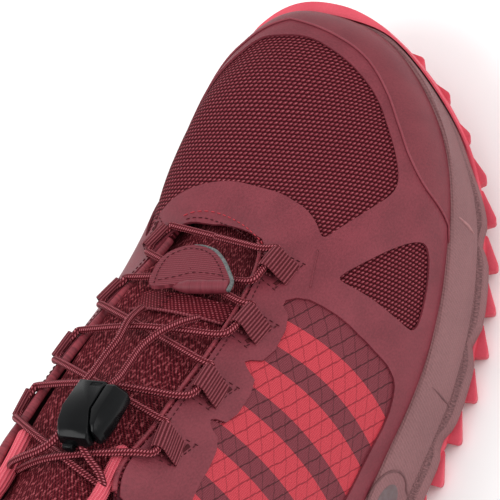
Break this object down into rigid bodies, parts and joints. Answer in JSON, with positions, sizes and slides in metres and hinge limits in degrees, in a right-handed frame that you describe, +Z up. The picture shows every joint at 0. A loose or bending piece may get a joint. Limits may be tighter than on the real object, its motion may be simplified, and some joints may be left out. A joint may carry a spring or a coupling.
{
  "type": "trail shoe",
  "caption": "Low trail shoe for the right foot with a mesh upper, welded overlays, lace loops, a cord lock and a lugged sole.",
  "frame": {"origin": "on the floor under the middle of the shoe's box", "axes": "+X to the toe, +Y to the inner (medial) side, +Z up"},
  "size_m": [0.279, 0.0998, 0.13],
  "materials": {
    "coral_rubber": "matt, moulded coral tread rubber",
    "rose_foam": "matt dusty rose moulded foam",
    "maroon_mesh": "maroon open-weave mesh",
    "burgundy_film": "matt burgundy welded film",
    "burgundy_webbing": "burgundy woven webbing and round lace",
    "coral_webbing": "coral gathered webbing",
    "dark_foam": "dark maroon fabric-covered foam",
    "black_plastic": "glossy black moulded plastic"
  },
  "bodies": {
    "root": {"band_front": "burgundy_film", "band_rear": "burgundy_film", "eyelet_loop_inner": "coral_webbing", "eyelet_loop_outer": "coral_webbing", "eyestay": "burgundy_film", "insole": "dark_foam", "lace_bar": "burgundy_webbing", "lace_cross_1": "burgundy_webbing", "lace_cross_2": "burgundy_webbing", "lace_cross_3": "burgundy_webbing", "lace_cross_4": "burgundy_webbing", "lace_end_inner": "burgundy_webbing", "lace_end_outer": "burgundy_webbing", "lace_lock": "black_plastic", "lace_lock_button": "black_plastic", "lace_loop_inner_1": "burgundy_webbing", "lace_loop_inner_2": "burgundy_webbing", "lace_loop_inner_3": "burgundy_webbing", "lace_loop_inner_4": "burgundy_webbing", "lace_loop_outer_1": "burgundy_webbing", "lace_loop_outer_2": "burgundy_webbing", "lace_loop_outer_3": "burgundy_webbing", "lace_loop_outer_4": "burgundy_webbing", "lace_tab": "burgundy_webbing", "lace_to_lock_inner": "burgundy_webbing", "lace_to_lock_outer": "burgundy_webbing", "midsole": "rose_foam", "outsole": "coral_rubber", "toe_rand": "burgundy_film", "tongue": "maroon_mesh", "tongue_band": "burgundy_webbing", "upper": "maroon_mesh"}
  },
  "joints": []
}
